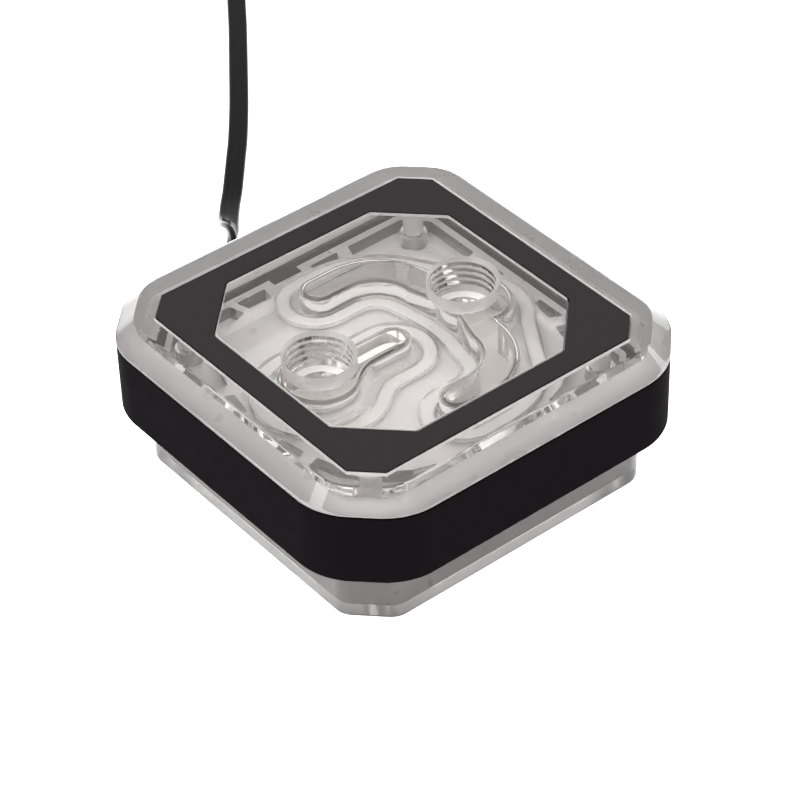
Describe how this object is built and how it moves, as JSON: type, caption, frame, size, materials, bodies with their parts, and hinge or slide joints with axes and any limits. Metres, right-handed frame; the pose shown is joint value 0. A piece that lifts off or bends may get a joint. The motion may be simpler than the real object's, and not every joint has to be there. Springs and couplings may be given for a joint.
{
  "type": "cpu water block",
  "caption": "Square clear CPU water block with a black ring and trim frame, two threaded top ports, milled channels, a finned cold plate and a lighting lead.",
  "frame": {"origin": "centre of the cold plate's underside", "axes": "+Z from the cold plate towards the ports, -X towards the inlet port, +Y towards the side that the lead leaves"},
  "size_m": [0.1603, 0.2012, 0.0299],
  "materials": {
    "clear_acrylic": "polished clear acrylic",
    "black_trim": "satin black",
    "black_anodised": "matt black anodised",
    "silicone": "translucent silicone",
    "nickel": "satin nickel plate",
    "stainless_steel": "plain",
    "black_rubber": "matt",
    "strip_film": "satin film",
    "led_white": "gloss",
    "lead_jacket": "satin",
    "black_plastic": "matt",
    "contact_brass": "plain"
  },
  "bodies": {
    "root": {"clear_top": "clear_acrylic", "base_body": "clear_acrylic", "trim_frame": "black_trim", "outer_ring": "black_anodised", "inlet_seal": "silicone", "outlet_seal": "silicone", "cold_plate": "nickel", "jet_plate": "stainless_steel", "top_screw_1": "stainless_steel", "top_screw_2": "stainless_steel", "top_screw_3": "stainless_steel", "top_screw_4": "stainless_steel", "plate_screw_1": "stainless_steel", "plate_screw_2": "stainless_steel", "plate_screw_3": "stainless_steel", "plate_screw_4": "stainless_steel", "plate_screw_5": "stainless_steel", "plate_screw_6": "stainless_steel", "plate_screw_7": "stainless_steel", "plate_screw_8": "stainless_steel", "plate_seal": "silicone", "cable_grommet": "black_rubber", "led_strip": "strip_film", "led_1": "led_white", "led_2": "led_white", "led_3": "led_white", "led_4": "led_white", "led_5": "led_white", "led_6": "led_white", "led_7": "led_white", "led_8": "led_white", "led_9": "led_white", "led_10": "led_white", "led_11": "led_white", "led_12": "led_white", "lead_cable": "lead_jacket", "lead_coil": "lead_jacket", "lead_tail": "lead_jacket", "connector_shell": "black_plastic", "cable_tie": "black_plastic", "contact_1": "contact_brass", "contact_2": "contact_brass", "contact_3": "contact_brass"}
  },
  "joints": []
}
